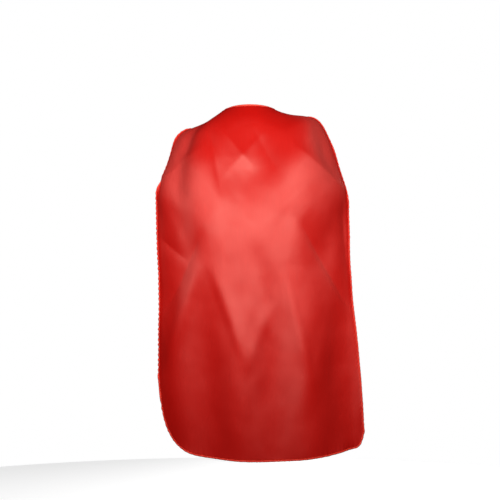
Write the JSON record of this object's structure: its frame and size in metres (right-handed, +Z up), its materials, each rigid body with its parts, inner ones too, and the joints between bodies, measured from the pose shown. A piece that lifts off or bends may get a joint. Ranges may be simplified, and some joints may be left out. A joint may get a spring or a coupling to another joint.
{
  "type": "superhero cape",
  "caption": "Knee-length satin costume cape draped as worn, with a bound neckline, rolled hem and overlapping hook-and-loop neck tabs.",
  "frame": {"origin": "centre of the neck opening, level with the nape", "axes": "+Z up, +Y the wearer's front, +X the wearer's right"},
  "size_m": [0.505, 0.251, 0.8619],
  "materials": {
    "satin": "satin",
    "trim": "satin",
    "thread": "matte",
    "lining": "matte",
    "tape": "matte",
    "label": "satin"
  },
  "bodies": {
    "shoulders": {"panel_upper": "satin", "neck_binding": "trim", "binding_stitching": "thread", "front_hem_left": "trim", "front_hem_right": "trim", "care_label": "label", "care_label_stitching": "thread"},
    "skirt": {"panel_lower": "satin", "side_hem_left": "trim", "side_hem_right": "trim", "bottom_hem": "trim"},
    "right_tab": {"right_tab_face": "satin", "right_tab_interfacing": "lining", "right_tab_facing": "satin", "right_tab_stitching": "thread", "right_tab_bartack": "thread", "hook_patch": "tape", "hook_patch_stitching": "thread"},
    "left_tab": {"left_tab_face": "satin", "left_tab_interfacing": "lining", "left_tab_facing": "satin", "left_tab_stitching": "thread", "left_tab_bartack": "thread", "loop_patch": "tape", "loop_patch_stitching": "thread"}
  },
  "joints": [
    {"name": "skirt_swing", "type": "hinge", "parent": "shoulders", "child": "skirt", "pos_m": [0, -0.1345, -0.16], "axis": [-1, 0, 0], "range_deg": [0, 28]},
    {"name": "right_tab_fold", "type": "hinge", "parent": "shoulders", "child": "right_tab", "pos_m": [0.0639, 0.0348, -0.0191], "axis": [0.7984, 0.4352, -0.4162], "range_deg": [0, 100]},
    {"name": "left_tab_fold", "type": "hinge", "parent": "shoulders", "child": "left_tab", "pos_m": [-0.0639, 0.0348, -0.0191], "axis": [0.7984, -0.4352, 0.4162], "range_deg": [0, 56]}
  ],
  "couplings": [
    {"joint": "left_tab_fold", "follows": "right_tab_fold", "ratio": 0.55}
  ]
}
